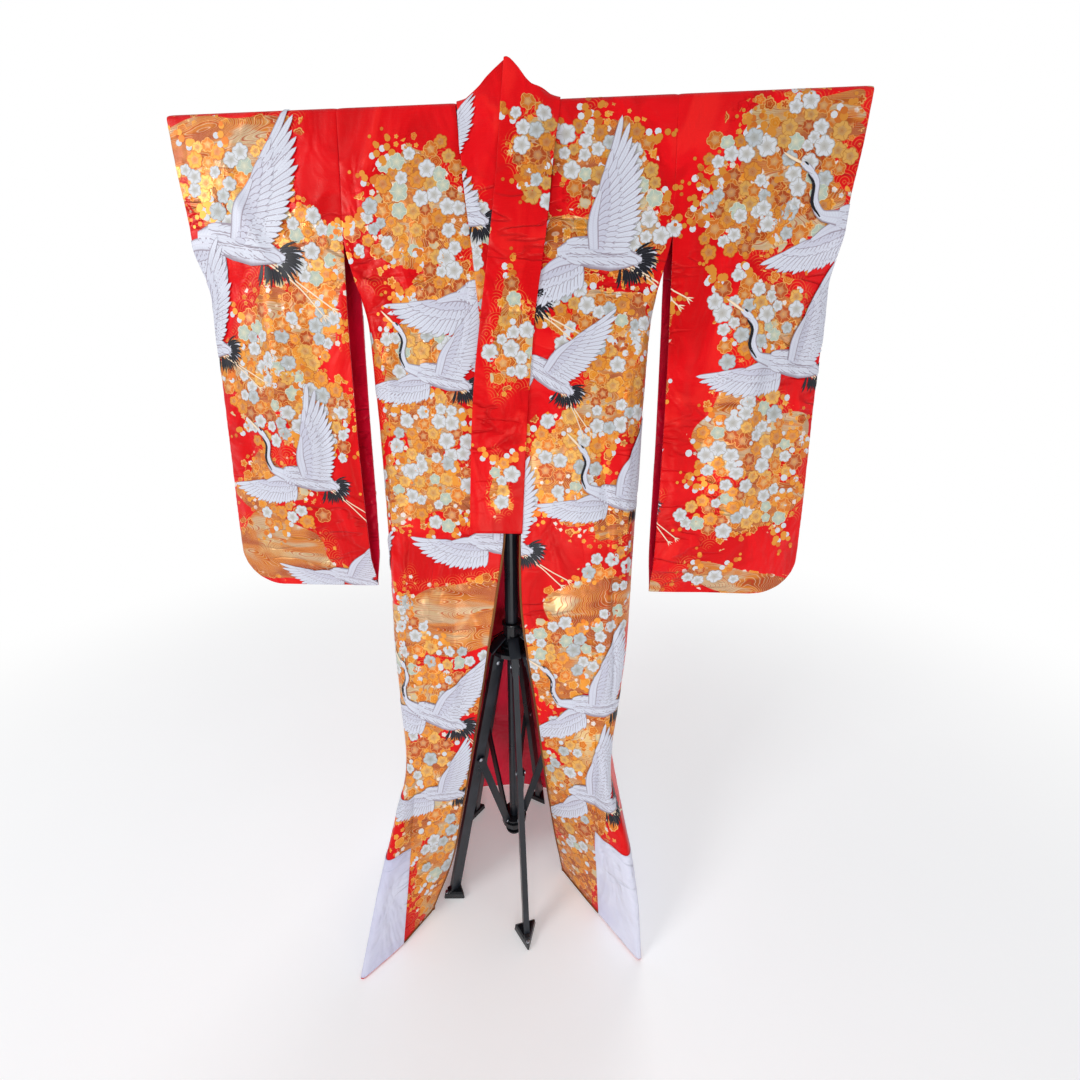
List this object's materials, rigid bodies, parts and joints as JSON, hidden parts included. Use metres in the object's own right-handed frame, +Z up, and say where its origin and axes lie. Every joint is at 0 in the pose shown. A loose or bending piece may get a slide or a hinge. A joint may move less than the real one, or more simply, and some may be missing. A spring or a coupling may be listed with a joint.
{
  "type": "uchikake wedding kimono on a garment stand",
  "caption": "Long open wedding robe with deep hanging sleeves and a flared hem, draped on the crossbar of a pole stand with splayed folding legs.",
  "frame": {"origin": "on the floor, under the centre of the object's box", "axes": "+X to the viewer's right, +Y to the back, +Z up"},
  "size_m": [1.3796, 0.4752, 1.9055],
  "materials": {
    "brocade": "red silk satin with woven gold, white and orange figures",
    "lining": "deep red silk satin",
    "white_silk": "plain white silk",
    "gold_silk": "gold silk padded edge",
    "black_metal": "satin black",
    "black_plastic": "glossy black"
  },
  "bodies": {
    "root": {"back_left": "brocade", "back_lining_left": "lining", "back_lining_right": "lining", "back_right": "brocade", "collar_back": "brocade", "collar_left": "brocade", "collar_right": "brocade", "crossbar_left": "black_metal", "crossbar_right": "black_metal", "foot_1": "black_plastic", "foot_2": "black_plastic", "foot_3": "black_plastic", "foot_4": "black_plastic", "foot_5": "black_plastic", "front_left": "brocade", "front_right": "brocade", "fuki_left": "gold_silk", "fuki_right": "gold_silk", "hem_cover_back_left": "white_silk", "hem_cover_back_right": "white_silk", "hem_cover_front_left": "white_silk", "hem_cover_front_right": "white_silk", "hub": "black_plastic", "hub_knob": "black_plastic", "leg_1": "black_metal", "leg_2": "black_metal", "leg_3": "black_metal", "leg_4": "black_metal", "leg_5": "black_metal", "okumi_left": "brocade", "okumi_right": "brocade", "pole_lower": "black_metal", "pole_upper": "black_metal", "sleeve_back_left": "brocade", "sleeve_back_right": "brocade", "sleeve_front_left": "brocade", "sleeve_front_right": "brocade", "sleeve_lining_left": "lining", "sleeve_lining_right": "lining", "strut_1": "black_metal", "strut_2": "black_metal", "strut_3": "black_metal", "strut_4": "black_metal", "strut_5": "black_metal", "strut_ring": "black_plastic", "tee": "black_plastic"}
  },
  "joints": []
}
